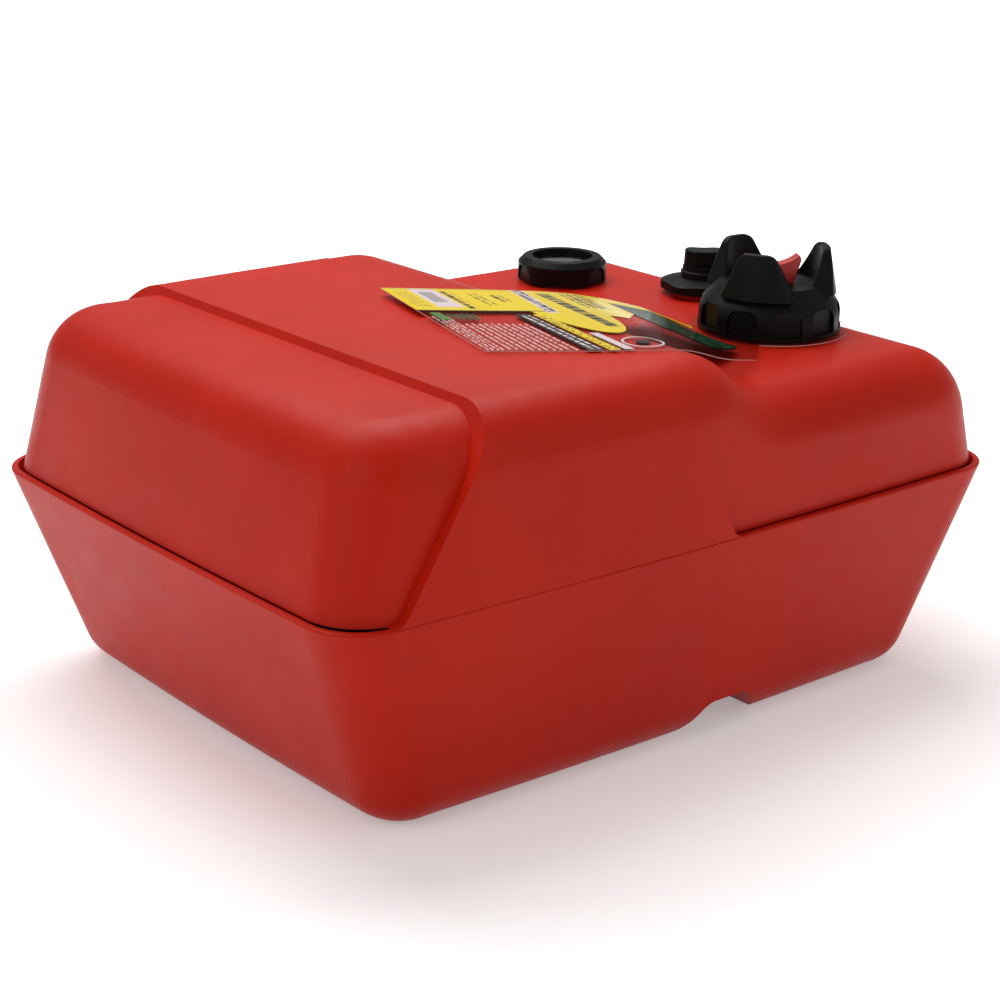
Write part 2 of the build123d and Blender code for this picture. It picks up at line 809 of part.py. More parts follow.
with BuildPart() as gauge_guide:
    with Locations((gauge_x, gauge_y, fitting_deck_height + foot_low)):
        Cylinder(foot_radius, foot_thickness, align=upright)
    with Locations((gauge_x, gauge_y + rod_offset, fitting_deck_height + foot_low),
                   (gauge_x, gauge_y - rod_offset, fitting_deck_height + foot_low)):
        Cylinder(rod_radius, -foot_low, align=upright)
    with Locations((gauge_x, gauge_y, fitting_deck_height + foot_low)):
        Cylinder(spindle_radius + running_clearance, 2 * foot_thickness, mode=Mode.SUBTRACT)
    with Locations((gauge_x + rod_offset, gauge_y, fitting_deck_height + foot_low),
                   (gauge_x - rod_offset, gauge_y, fitting_deck_height + foot_low)):
        Cylinder(drain_hole_radius, 2 * foot_thickness, mode=Mode.SUBTRACT)
gauge_guide.part.label = "gauge_guide"
export_step(gauge_guide.part, "parts/gauge_guide.step")

with BuildPart() as gauge_float:
    with Locations((gauge_x, gauge_y, fitting_deck_height + float_low)):
        Cylinder(float_radius, float_height, align=upright)
        Cylinder(float_hole_radius, float_height - slot_plate_thickness, align=upright, mode=Mode.SUBTRACT)
        Box(strip_width + slot_clearance, strip_thickness + slot_clearance, float_height, align=upright,
            mode=Mode.SUBTRACT)
    with Locations((gauge_x, gauge_y + rod_offset, fitting_deck_height + float_low),
                   (gauge_x, gauge_y - rod_offset, fitting_deck_height + float_low)):
        Cylinder(rod_radius + fit_gap, float_height, align=upright, mode=Mode.SUBTRACT)
gauge_float.part.label = "gauge_float"
export_step(gauge_float.part, "parts/gauge_float.step")
print("float travel", float_travel, "degrees per millimetre", strip_rate)

# ---------------------------------------------------------------- fuel pickup
pickup_axis = Axis((pickup_x, pickup_y, 0), (0, 0, 1))
base_low = pickup_boss_height + pickup_gasket_thickness
base_top = base_low + pickup_base_height
collar_top = base_top + collar_height
shank_low = collar_top - plug_shank_length
socket_low = -pickup_boss_drop

with BuildPart() as pickup_gasket:
    with Locations((pickup_x, pickup_y, fitting_deck_height + pickup_boss_height)):
        Cylinder(pickup_boss_radius, pickup_gasket_thickness, align=upright)
        Cylinder(pickup_bore_radius, pickup_gasket_thickness, align=upright, mode=Mode.SUBTRACT)
pickup_gasket.part.label = "pickup_gasket"
export_step(pickup_gasket.part, "parts/pickup_gasket.step")

with BuildPart() as pickup_base:
    with BuildSketch(fitting_plane.offset(base_low)) as hexagon:
        with Locations(Location((pickup_x, pickup_y), pickup_base_turn)):
            RegularPolygon(pickup_base_radius, 6)
        fillet(hexagon.vertices(), pickup_base_corner_radius)
    extrude(amount=pickup_base_height)
    with BuildSketch(upright_profile(pickup_x, pickup_y)) as dome:
        with BuildLine():
            Polyline(
                (0, base_low),
                (pickup_base_radius, base_low),
                (pickup_base_radius, base_low + pickup_base_rim),
                (pickup_base_top_radius, base_top),
                (0, base_top),
                close=True,
            )
        make_face()
        fillet(dome.vertices().sort_by(Axis.X)[-2:].sort_by(Axis.Y)[-1], pickup_dome_radius)
    revolve(axis=pickup_axis, mode=Mode.INTERSECT)
    with Locations((pickup_x, pickup_y, fitting_deck_height + socket_low)):
        Cylinder(pickup_bore_radius - fit_gap, base_low - socket_low, align=upright)
        Cylinder(collar_shank_radius + fit_gap, base_top - socket_low, align=upright, mode=Mode.SUBTRACT)
pickup_base.part.label = "pickup_base"
export_step(pickup_base.part, "parts/pickup_base.step")

with BuildPart() as pickup_collar:
    with BuildSketch(upright_profile(pickup_x, pickup_y)):
        with BuildLine():
            Polyline(
                (tube_radius + running_clearance, socket_low),
                (collar_shank_radius, socket_low),
                (collar_shank_radius, base_top),
                (collar_radius, base_top),
                (collar_radius, collar_top - collar_chamfer),
                (collar_radius - collar_chamfer, collar_top),
                (plug_bore_radius, collar_top),
                (plug_bore_radius, shank_low),
                (tube_bore_radius, shank_low),
                (tube_bore_radius, base_low),
                (tube_radius + running_clearance, base_low),
                close=True,
            )
        make_face()
    revolve(axis=pickup_axis)
pickup_collar.part.label = "pickup_collar"
export_step(pickup_collar.part, "parts/pickup_collar.step")

oring_level = shank_low + plug_shank_length / 2
grip_low = collar_top + plug_flange_thickness
grip_top = grip_low + plug_grip_height
with BuildPart() as outlet_plug:
    with BuildSketch(fitting_plane.offset(grip_low)):
        with Locations(Location((pickup_x, pickup_y), plug_grip_turn)):
            SlotOverall(plug_grip_length, plug_grip_width)
    extrude(amount=plug_grip_height, taper=plug_grip_taper)
    with BuildSketch(upright_profile(pickup_x, pickup_y, plug_grip_turn)):
        with BuildLine():
            ThreePointArc(
                (-plug_grip_length / 2, grip_top),
                (0, grip_top - plug_grip_dip),
                (plug_grip_length / 2, grip_top),
            )
            Polyline(
                (plug_grip_length / 2, grip_top),
                (plug_grip_length, grip_top + overrun),
                (-plug_grip_length, grip_top + overrun),
                (-plug_grip_length / 2, grip_top),
            )
        make_face()
    extrude(amount=plug_grip_width, both=True, mode=Mode.SUBTRACT)
    grip_edges = outlet_plug.edges().filter_by(
        lambda edge: edge.center().Z > fitting_deck_height + grip_top - 2 * plug_grip_dip
    )
    fillet(grip_edges, plug_grip_edge_radius)
    with Locations((pickup_x, pickup_y, fitting_deck_height + collar_top)):
        Cylinder(plug_flange_radius, plug_flange_thickness, align=upright)
    with Locations((pickup_x, pickup_y, fitting_deck_height + shank_low + fit_gap)):
        Cylinder(plug_shank_radius, plug_shank_length - fit_gap, align=upright)
    with Locations((pickup_x, pickup_y, fitting_deck_height + oring_level)):
        Torus(plug_bore_radius - oring_radius, oring_radius, mode=Mode.SUBTRACT)
outlet_plug.part.label = "outlet_plug"
export_step(outlet_plug.part, "parts/outlet_plug.step")

with BuildPart() as outlet_oring:
    with Locations((pickup_x, pickup_y, fitting_deck_height + oring_level)):
        Torus(plug_bore_radius - oring_radius, oring_radius - running_clearance / 2)
outlet_oring.part.label = "outlet_oring"
export_step(outlet_oring.part, "parts/outlet_oring.step")

screen_low = wall + screen_floor_gap
tube_bend_top = fitting_deck_height - tube_bend_drop
with BuildPart() as pickup_tube:
    with BuildLine() as tube_path:
        FilletPolyline(
            (pickup_x, pickup_y, fitting_deck_height + base_low),
            (pickup_x, pickup_y, tube_bend_top),
            (pickup_x - tube_offset, pickup_y, tube_bend_top - tube_bend_run),
            (pickup_x - tube_offset, pickup_y, screen_low + tube_end_gap),
            radius=tube_bend_radius,
        )
    with BuildSketch(fitting_plane.offset(base_low)):
        with Locations((pickup_x, pickup_y)):
            Circle(tube_radius)
            Circle(tube_bore_radius, mode=Mode.SUBTRACT)
    sweep(path=tube_path.line)
pickup_tube.part.label = "pickup_tube"
export_step(pickup_tube.part, "parts/pickup_tube.step")

with BuildPart() as pickup_screen:
    with Locations((pickup_x - tube_offset, pickup_y, screen_low)):
        Cylinder(screen_radius, screen_height, align=upright)
    with Locations((pickup_x - tube_offset, pickup_y, screen_low + screen_wall)):
        Cylinder(screen_radius - screen_wall, screen_height - 2 * screen_wall, align=upright,
                 mode=Mode.SUBTRACT)
        Cylinder(tube_radius, screen_height, align=upright, mode=Mode.SUBTRACT)
        with PolarLocations(screen_radius, screen_slot_count):
            Box(4 * screen_wall, screen_slot_width, screen_height - 6 * screen_wall,
                align=(Align.CENTER, Align.CENTER, Align.MIN), mode=Mode.SUBTRACT)
pickup_screen.part.label = "pickup_screen"
export_step(pickup_screen.part, "parts/pickup_screen.step")
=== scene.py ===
"""Looks of the portable fuel tank: materials, dial, printed tag, thread, light and camera."""
from math import cos, pi, radians, sin

import bmesh
import bpy
from mathutils import Matrix, Vector


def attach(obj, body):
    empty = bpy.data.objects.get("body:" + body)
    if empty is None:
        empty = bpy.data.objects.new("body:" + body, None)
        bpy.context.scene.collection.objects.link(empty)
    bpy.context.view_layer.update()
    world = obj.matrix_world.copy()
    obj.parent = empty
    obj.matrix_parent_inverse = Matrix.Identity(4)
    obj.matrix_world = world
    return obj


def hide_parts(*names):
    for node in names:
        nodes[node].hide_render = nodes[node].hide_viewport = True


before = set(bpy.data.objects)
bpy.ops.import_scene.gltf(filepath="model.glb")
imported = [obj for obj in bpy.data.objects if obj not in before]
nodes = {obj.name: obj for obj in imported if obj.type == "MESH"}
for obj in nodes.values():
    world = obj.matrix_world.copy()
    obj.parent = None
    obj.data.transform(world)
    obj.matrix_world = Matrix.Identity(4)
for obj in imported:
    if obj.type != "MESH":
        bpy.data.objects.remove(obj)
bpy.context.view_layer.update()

DECK = 0.190                            # height of the lower deck with the fittings
FILLER = Vector((0.146, -0.064, 0))     # axis of the filler neck
GAUGE = Vector((0.128, 0.100, 0))       # axis of the gauge


# ------------------------------------------------------------------ shader helpers
class Shader:
    """A node material with short calls for its nodes."""

    def __init__(self, name):
        self.material = bpy.data.materials.new(name)
        self.material.use_nodes = True
        self.tree = self.material.node_tree
        self.bsdf = self.tree.nodes["Principled BSDF"]
        self.coords = self.tree.nodes.new("ShaderNodeTexCoord").outputs["Object"]

    def link(self, value, socket):
        if isinstance(value, bpy.types.NodeSocket):
            self.tree.links.new(value, socket)
        else:
            socket.default_value = value

    def set(self, **values):
        for name, value in values.items():
            self.link(value, self.bsdf.inputs[name.replace("_", " ")])

    def math(self, operation, a, b=0.0, clamp=False):
        node = self.tree.nodes.new("ShaderNodeMath")
        node.operation = operation
        node.use_clamp = clamp
        self.link(a, node.inputs[0])
        self.link(b, node.inputs[1])
        return node.outputs[0]

    def both(self, a, b):
        """1 where both masks are 1."""
        return self.math("MULTIPLY", a, b)

    def hypot(self, a, b):
        squares = self.math("ADD", self.math("MULTIPLY", a, a), self.math("MULTIPLY", b, b))
        return self.math("SQRT", squares)

    def within(self, value, low, high):
        """1 where the value lies between low and high."""
        return self.both(self.math("GREATER_THAN", value, low), self.math("LESS_THAN", value, high))

    def axes(self, vector=None):
        node = self.tree.nodes.new("ShaderNodeSeparateXYZ")
        self.link(self.coords if vector is None else vector, node.inputs[0])
        return node.outputs

    def mapped(self, scale=(1, 1, 1), location=(0, 0, 0)):
        node = self.tree.nodes.new("ShaderNodeMapping")
        self.link(self.coords, node.inputs["Vector"])
        node.inputs["Scale"].default_value = scale
        node.inputs["Location"].default_value = location
        return node.outputs[0]

    def noise(self, scale, detail=3.0, roughness=0.5, vector=None):
        node = self.tree.nodes.new("ShaderNodeTexNoise")
        self.link(self.coords if vector is None else vector, node.inputs["Vector"])
        node.inputs["Scale"].default_value = scale
        node.inputs["Detail"].default_value = detail
        node.inputs["Roughness"].default_value = roughness
        return node.outputs["Fac"]

    def ramp(self, value, low, high, start=0.0, end=1.0):
        node = self.tree.nodes.new("ShaderNodeMapRange")
        self.link(value, node.inputs["Value"])
        node.inputs["From Min"].default_value = low
        node.inputs["From Max"].default_value = high
        node.inputs["To Min"].default_value = start
        node.inputs["To Max"].default_value = end
        return node.outputs[0]

    def mix(self, factor, a, b):
        node = self.tree.nodes.new("ShaderNodeMix")
        node.data_type = "RGBA"
        self.link(factor, node.inputs[0])
        self.link(a, node.inputs[6])
        self.link(b, node.inputs[7])
        return node.outputs[2]

    def bump(self, height, strength, distance, normal=None):
        node = self.tree.nodes.new("ShaderNodeBump")
        node.inputs["Strength"].default_value = strength
        node.inputs["Distance"].default_value = distance
        self.link(height, node.inputs["Height"])
        if normal is not None:
            self.link(normal, node.inputs["Normal"])
        return node.outputs[0]


def rgba(r, g, b):
    """Linear colour from 0-255 display values."""
    def linear(c):
        c = c / 255
        return c / 12.92 if c <= 0.04045 else ((c + 0.055) / 1.055) ** 2.4
    return (linear(r), linear(g), linear(b), 1.0)


# ------------------------------------------------------------------ materials
def moulded_tank():
    """Blow-moulded polyethylene: satin, faintly mottled, with orange peel and fine scuffs."""
    s = Shader("tank_polyethylene")
    cloud = s.noise(9.0, 4.0, 0.55)
    fleck = s.noise(160.0, 3.0, 0.6)
    colour = s.mix(s.ramp(cloud, 0.35, 0.68), rgba(192, 28, 6), rgba(204, 35, 10))
    colour = s.mix(s.ramp(fleck, 0.62, 0.78, 0.0, 0.14), colour, rgba(212, 62, 40))
    scuff = s.noise(34.0, 5.0, 0.7)
    roughness = s.ramp(scuff, 0.3, 0.75, 0.38, 0.50)
    peel = s.noise(520.0, 2.0, 0.5)
    wave = s.noise(26.0, 2.0, 0.4)
    normal = s.bump(wave, 0.10, 0.0030)
    normal = s.bump(peel, 0.16, 0.0004, normal)
    s.set(Base_Color=colour, Roughness=roughness, Normal=normal)
    s.set(IOR=1.50, Specular_IOR_Level=0.16)
    return s.material


def moulded_black(name, level=9, roughness=0.46, grain=700.0):
    """Black injection-moulded plastic with a fine spark-eroded grain and lighter worn patches."""
    s = Shader(name)
    wear = s.noise(45.0, 5.0, 0.65)
    colour = s.mix(s.ramp(wear, 0.50, 0.80), rgba(level, level, level),
                   rgba(level + 7, level + 7, level + 7))
    rough = s.ramp(s.noise(90.0, 4.0, 0.6), 0.3, 0.7, roughness - 0.07, roughness + 0.09)
    normal = s.bump(s.noise(grain, 2.0, 0.5), 0.22, 0.0003)
    s.set(Base_Color=colour, Roughness=rough, Normal=normal, IOR=1.5, Specular_IOR_Level=0.13)
    return s.material


def moulded_colour(name, low, high, roughness=0.4):
    """Coloured moulding with slight mottling and grain."""
    s = Shader(name)
    colour = s.mix(s.ramp(s.noise(60.0, 4.0), 0.35, 0.7), low, high)
    rough = s.ramp(s.noise(120.0, 3.0), 0.3, 0.7, roughness - 0.05, roughness + 0.08)
    s.set(Base_Color=colour, Roughness=rough, Normal=s.bump(s.noise(600.0), 0.12, 0.0003))
    return s.material


def rubber(name):
    s = Shader(name)
    dust = s.noise(130.0, 5.0, 0.7)
    s.set(Base_Color=s.mix(s.ramp(dust, 0.5, 0.8), rgba(22, 22, 22), rgba(44, 43, 42)))
    s.set(Roughness=s.ramp(dust, 0.3, 0.7, 0.62, 0.82), Normal=s.bump(s.noise(900.0), 0.15, 0.0002))
    return s.material


def brushed_strip():
    s = Shader("spindle_steel")
    grain = s.noise(60.0, 4.0, 0.6, s.mapped(scale=(40, 40, 1)))
    s.set(Base_Color=s.mix(grain, rgba(150, 150, 150), rgba(196, 196, 194)), Metallic=1.0)
    s.set(Roughness=s.ramp(grain, 0.3, 0.7, 0.24, 0.42))
    return s.material


def foam():
    s = Shader("float_foam")
    cells = s.tree.nodes.new("ShaderNodeTexVoronoi")
    cells.inputs["Scale"].default_value = 900.0
    s.link(s.coords, cells.inputs["Vector"])
    s.set(Base_Color=s.mix(cells.outputs["Distance"], rgba(20, 20, 20), rgba(58, 56, 54)))
    s.set(Roughness=0.85, Normal=s.bump(cells.outputs["Distance"], 0.5, 0.0006))
    return s.material


def lens_plastic():
    s = Shader("lens_clear")
    s.set(Base_Color=rgba(238, 242, 240), Transmission_Weight=1.0, IOR=1.49)
    s.set(Roughness=s.ramp(s.noise(70.0, 5.0, 0.7), 0.4, 0.8, 0.03, 0.16))
    return s.material


def dial_face():
    """White dial with a graduated arc: coarse and fine ticks and a filled low sector."""
    sweep = 0.75                        # share of a full turn that the pointer sweeps
    tick_root, fine_root, arc_inner, tick_tip, arc_outer = 0.0095, 0.0120, 0.0139, 0.0140, 0.0143
    s = Shader("dial_print")
    x, y, _ = s.axes(s.mapped(location=(-GAUGE.x, -GAUGE.y, 0)))
    radius = s.hypot(x, y)
    angle = s.math("ARCTAN2", y, x)
    turn = s.math("FRACT", s.math("DIVIDE", s.math("MULTIPLY", angle, -1.0), 2 * pi))
    inside = s.math("LESS_THAN", turn, sweep + 0.003)

    def ticks(count, width):
        phase = s.math("FRACT", s.math("ADD", s.math("MULTIPLY", turn, count / sweep), 0.5))
        return s.math("LESS_THAN", s.math("ABSOLUTE", s.math("SUBTRACT", phase, 0.5)), width)

    coarse = s.both(ticks(4, 0.045), s.within(radius, tick_root, tick_tip))
    fine = s.both(ticks(16, 0.075), s.within(radius, fine_root, tick_tip))
    arc = s.within(radius, arc_inner, arc_outer)
    ink = s.both(s.math("MAXIMUM", s.math("MAXIMUM", coarse, fine), arc), inside)
    low = s.both(s.math("LESS_THAN", turn, 0.12), s.within(radius, fine_root, arc_inner))
    paper = s.mix(s.ramp(s.noise(200.0), 0.3, 0.7), rgba(222, 221, 214), rgba(234, 233, 227))
    colour = s.mix(ink, s.mix(low, paper, rgba(196, 46, 30)), rgba(18, 18, 18))
    s.set(Base_Color=colour, Roughness=0.45)
    return s.material


def paint(name, material):
    """Put the material on every slot of a CAD node."""
    mesh = nodes[name].data
    if mesh.materials:
        for index in range(len(mesh.materials)):
            mesh.materials[index] = material
    else:
        mesh.materials.append(material)


tank_red = moulded_tank()
paint("tank_shell", tank_red)
paint("filler_cap", moulded_black("cap_black", 11, 0.44))
paint("gauge_ring", moulded_black("gauge_black", 12, 0.42, 800.0))
paint("pickup_base", moulded_black("pickup_black", 10, 0.50))
paint("pickup_collar", moulded_black("collar_black", 13, 0.48))
paint("outlet_plug", moulded_black("plug_black", 12, 0.46))
paint("gauge_housing", moulded_black("housing_black", 16, 0.50))
paint("vent_knob", moulded_colour("knob_red", rgba(186, 34, 24), rgba(208, 48, 34), 0.36))
paint("gauge_pointer", moulded_colour("pointer_orange", rgba(206, 74, 24), rgba(220, 90, 34), 0.4))
paint("pickup_tube", moulded_colour("tube_natural", rgba(206, 204, 190), rgba(222, 220, 208), 0.35))
paint("pickup_screen", moulded_colour("screen_natural", rgba(214, 212, 202), rgba(228, 227, 219), 0.5))
paint("gauge_guide", moulded_colour("guide_natural", rgba(204, 200, 184), rgba(220, 217, 203), 0.4))
for gasket in ("cap_gasket", "vent_seal", "gauge_gasket", "pickup_gasket", "outlet_oring"):
    paint(gasket, rubber(gasket + "_rubber"))
paint("gauge_spindle", brushed_strip())
paint("gauge_float", foam())
paint("gauge_lens", lens_plastic())
paint("gauge_dial", dial_face())


# ------------------------------------------------------------------ making pieces
def smooth(obj, angle):
    """Weld doubled points and shade smooth up to the given edge angle, in degrees."""
    weld = obj.modifiers.new("weld", "WELD")
    weld.merge_threshold = 0.00001
    for polygon in obj.data.polygons:
        polygon.use_smooth = True
    bpy.context.view_layer.objects.active = obj
    obj.select_set(True)
    bpy.ops.object.shade_auto_smooth(angle=radians(angle))
    obj.select_set(False)


def mesh_object(name, build, material, body, smooth_angle=32.0):
    """A new piece that rides on a body, its mesh filled in by build."""
    mesh = bpy.data.meshes.new(name)
    work = bmesh.new()
    build(work)
    work.to_mesh(mesh)
    work.free()
    mesh.materials.append(material)
    obj = bpy.data.objects.new(name, mesh)
    bpy.context.scene.collection.objects.link(obj)
    smooth(obj, smooth_angle)
    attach(obj, body)
    return obj


# ------------------------------------------------------------------ printed neck tag
SIGN_CENTRE = (-0.0022, -0.1157)        # x and y of the plain ring
BARE_ALPHA = 0.07                       # opacity of the film where it has no ink, per face


def tag_film():
    """Clear film, printed in part: opaque inks in blocks and rows of dashes, the rest see-through.

    The layout is in millimetres along the tag, from its outer end to the ring, and across it.
    """
    s = Shader("tag_film")
    uv = s.tree.nodes.new("ShaderNodeTexCoord").outputs["UV"]
    along, across, _ = s.axes(uv)

    def block(a_low, a_high, c_low, c_high):
        return s.both(s.within(along, a_low / 1000, a_high / 1000),
                      s.within(across, c_low / 1000, c_high / 1000))

    def skewed(a_low, a_high, slope, c_low, c_high):
        """A block whose ends slant: they shift along the tag by the slope times the place across."""
        shifted = s.math("ADD", along, s.math("MULTIPLY", across, slope))
        return s.both(s.within(shifted, a_low / 1000, a_high / 1000),
                      s.within(across, c_low / 1000, c_high / 1000))

    def rows(pitch, fill, seed, gap):
        """Rows of short dashes that run across the tag, like lines of small print."""
        line = s.math("LESS_THAN", s.math("FRACT", s.math("DIVIDE", along, pitch / 1000)), fill)
        grain = s.tree.nodes.new("ShaderNodeCombineXYZ")
        s.link(s.math("FLOOR", s.math("DIVIDE", along, pitch / 1000)), grain.inputs[0])
        s.link(s.math("MULTIPLY", across, 420.0), grain.inputs[1])
        grain.inputs[2].default_value = seed
        dashes = s.noise(1.0, 1.0, 0.4, grain.outputs[0])
        return s.both(line, s.math("GREATER_THAN", dashes, gap))

    def oval(a, c, radius_a, radius_c):
        da = s.math("DIVIDE", s.math("SUBTRACT", along, a / 1000), radius_a / 1000)
        dc = s.math("DIVIDE", s.math("SUBTRACT", across, c / 1000), radius_c / 1000)
        return s.math("LESS_THAN", s.hypot(da, dc), 1.0)

    x, y, _ = s.axes()
    from_sign = s.hypot(s.math("SUBTRACT", x, SIGN_CENTRE[0]), s.math("SUBTRACT", y, SIGN_CENTRE[1]))

    def spot(radius):
        """A true circle: along and across aren't square to each other round the sign."""
        return s.math("LESS_THAN", from_sign, radius / 1000)

    yellow, dark, white = rgba(246, 214, 14), rgba(18, 16, 12), rgba(232, 214, 214)
    print_white = rgba(240, 204, 198)
    green, deep_green, orange = rgba(86, 130, 44), rgba(12, 40, 26), rgba(226, 128, 20)
    before_slant = s.math("LESS_THAN", s.math("ADD", across, s.math("MULTIPLY", along, 1.07)), 0.190)
    # pattern or None for a solid ink, area, ink; later layers lie on earlier ones
    layers = [
        (rows(3.6, 0.28, 1.0, 0.44), block(14, 50, 82, 138), print_white),
        (rows(2.6, 0.34, 2.0, 0.48), block(2, 13, 66, 138), print_white),
        (None, skewed(-9, 75, -0.02, -5, 52), yellow),
        (None, oval(86, 44, 22, 58), yellow),
        (None, s.both(block(72, 170, -5, 60), before_slant), yellow),
        (None, skewed(-9, 72, -0.02, 52, 53.6), rgba(96, 84, 30)),
        (None, block(16, 32, 1.5, 45), white),
        (rows(1.5, 0.50, 5.0, 0.20), block(19, 27.5, 9, 33), rgba(84, 76, 84)),
        (rows(2.0, 0.40, 11.0, 0.50), block(3, 13, 8, 44), rgba(118, 112, 60)),
        (rows(6.6, 0.62, 3.0, 0.44), block(33.5, 40, 6, 48), rgba(58, 54, 28)),
        (rows(4.0, 0.50, 4.0, 0.50), block(46, 55, 9, 40), rgba(112, 112, 52)),
        (rows(5.0, 0.60, 12.0, 0.42), block(60, 66, 15, 30), rgba(70, 66, 30)),
        (None, skewed(79.5, 86.5, 0.13, -5, 56), white),
        (rows(5.5, 0.75, 6.0, 0.46), skewed(80.5, 85.5, 0.13, -2, 54), dark),
        (rows(11.0, 0.84, 13.0, 0.45), block(90, 99, 6, 88), dark),
        (rows(6.0, 0.70, 14.0, 0.48), block(104, 122, 4, 40), dark),
        (None, block(5, 11, 58, 74), green),
        (rows(3.0, 0.60, 9.0, 0.40), block(13, 29, 61, 72), rgba(64, 92, 40)),
        (None, block(52, 59.5, 60, 138), dark),
        (rows(3.6, 0.50, 7.0, 0.48), block(53, 59, 63, 136), white),
        (None, block(62, 67.5, 60, 138), yellow),
        (rows(3.0, 0.46, 8.0, 0.50), block(62.5, 67, 62, 136), dark),
        (None, block(70, 75, 102, 137), white),
        (None, s.math("SUBTRACT", spot(11.4), spot(10.2), True), white),
        (None, spot(4.0), dark),
        (None, skewed(134, 173, -0.15, 14, 114), deep_green),
        (s.ramp(s.noise(300.0, 4.0, 0.7), 0.46, 0.60), skewed(137, 170, -0.15, 18, 112),
         rgba(44, 86, 58)),
        (None, block(162, 210, 3, 13), yellow),
        (None, block(162, 210, -5, 3), orange),
    ]
    # painted shade: towards the ring the clear film is tinted dark red and made a little opaque,
    # darkening the deck beneath it like the shadow under the hovering sheet
    painted_shade_end = block(122, 209, 50, 145)
    colour = s.mix(painted_shade_end, rgba(150, 60, 50), rgba(70, 14, 6))
    opacity = s.math("MULTIPLY", painted_shade_end, 0.10)
    for pattern, mask, ink in layers:
        if pattern is not None:
            mask = s.both(mask, pattern)
        colour = s.mix(mask, colour, ink)
        opacity = s.math("MAXIMUM", opacity, mask)
    s.set(Base_Color=colour, Roughness=0.20, IOR=1.5, Specular_IOR_Level=0.22)
    s.set(Alpha=s.ramp(opacity, 0.0, 1.0, BARE_ALPHA, 1.0))
    s.set(Normal=s.bump(s.noise(34.0, 2.0, 0.4), 0.08, 0.0020))
    return s.material


def cut_edge():
    """The film's cut edge, which catches the light."""
    s = Shader("tag_edge")
    s.set(Base_Color=s.mix(s.noise(300.0), rgba(196, 150, 142), rgba(222, 196, 188)), Roughness=0.3)
    return s.material


# The sheet's sizes are in millimetres.
RING_INNER, RING_OUTER, RING_LEVEL = 33.5, 46.0, 191.4
RING_START = 209                        # place of the ring's edge along the print
RING_JOIN = (radians(146), radians(218))    # arc of the ring that the sheet runs into
UNPRINTED = (260, 200)                  # a place along and across that has no ink
TAG_WIDTH = 140
TAG_THICKNESS = 0.5
# place along the print, point of the far edge and point of the near edge there
TAG_SECTIONS = [
    (0, (-51, 50, 219.0), (-84.4, -85.3, 217.0)),
    (38, (-20.8, 33.7, 217.4), (-51.5, -106.5, 216.4)),
    (76, (9, 14, 216.4), (-16.7, -129, 216.2)),
    (108, (44, 5, 211.8), (8, -138, 214.4)),
    (140, (71, 0, 205.8), (42, -133, 203.3)),
    (173, (92.6, -11, 199.8), (80, -119, 193.4)),
]


def tag_sheet(work):
    """A sheet that drapes over the shoulder and runs into a ring round the filler."""
    columns, steps, ring_steps = 36, 8, 72
    filler = FILLER * 1000
    join_low, join_high = RING_JOIN
    join_span = join_high - join_low
    join_angles = [join_low + join_span * index / columns for index in range(columns + 1)]

    def on_circle(radius, angle):
        return Vector((filler.x + radius * cos(angle), filler.y + radius * sin(angle), RING_LEVEL))

    sections = []
    for along, far, near in TAG_SECTIONS:
        row = [Vector(far).lerp(Vector(near), index / columns) for index in range(columns + 1)]
        sections.append((along, row))

    def slope(index, column):
        """The drape's direction at a section, from its neighbours."""
        low, high = max(index - 1, 0), min(index + 1, len(sections) - 1)
        rise = sections[high][1][column] - sections[low][1][column]
        return rise / (sections[high][0] - sections[low][0])

    rows = []
    for index in range(len(sections) - 1):
        (start, first), (stop, last) = sections[index], sections[index + 1]
        run = stop - start
        for step in range(steps):
            t = step / steps
            row = []
            for column in range(columns + 1):
                row.append((2 * t**3 - 3 * t**2 + 1) * first[column]
                           + (t**3 - 2 * t**2 + t) * run * slope(index, column)
                           + (3 * t**2 - 2 * t**3) * last[column]
                           + (t**3 - t**2) * run * slope(index + 1, column))
            rows.append((start + run * t, row))

    # the last stretch is straight, and leaves a square corner where the ring begins
    start, first = sections[-1]
    run = RING_START - start
    ring_edge = [on_circle(RING_OUTER, angle) for angle in join_angles]
    for step in range(steps + 1):
        t = step / steps
        rows.append((start + run * t, [a.lerp(b, t) for a, b in zip(first, ring_edge)]))

    uv = work.loops.layers.uv.new("print")
    place = {}

    def vertex(point, along, across):
        made = work.verts.new(point / 1000)
        place[made] = (along / 1000, across / 1000)
        return made

    def face(corners):
        made = work.faces.new(corners)
        for loop in made.loops:
            loop[uv].uv = place[loop.vert]

    grid = []
    for along, row in rows:
        grid.append([vertex(point, along, TAG_WIDTH * index / columns)
                     for index, point in enumerate(row)])
    for upper, lower in zip(grid, grid[1:]):
        for column in range(columns):
            face((upper[column], upper[column + 1], lower[column + 1], lower[column]))

    outer = list(grid[-1])
    angles = list(join_angles)
    for index in range(1, ring_steps):
        angle = join_high + (2 * pi - join_span) * index / ring_steps
        angles.append(angle)
        outer.append(vertex(on_circle(RING_OUTER, angle), *UNPRINTED))
    inner = [vertex(on_circle(RING_INNER, angle), *UNPRINTED) for angle in angles]
    for index in range(len(outer)):
        following = (index + 1) % len(outer)
        face((outer[index], outer[following], inner[following], inner[index]))


tag = mesh_object("tag_printed_film", tag_sheet, tag_film(), "tank", 60.0)
tag.data.materials.append(cut_edge())
thicken = tag.modifiers.new("thickness", "SOLIDIFY")
thicken.thickness = TAG_THICKNESS / 1000
thicken.offset = 0.0
thicken.material_offset_rim = 1
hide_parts("neck_tag")


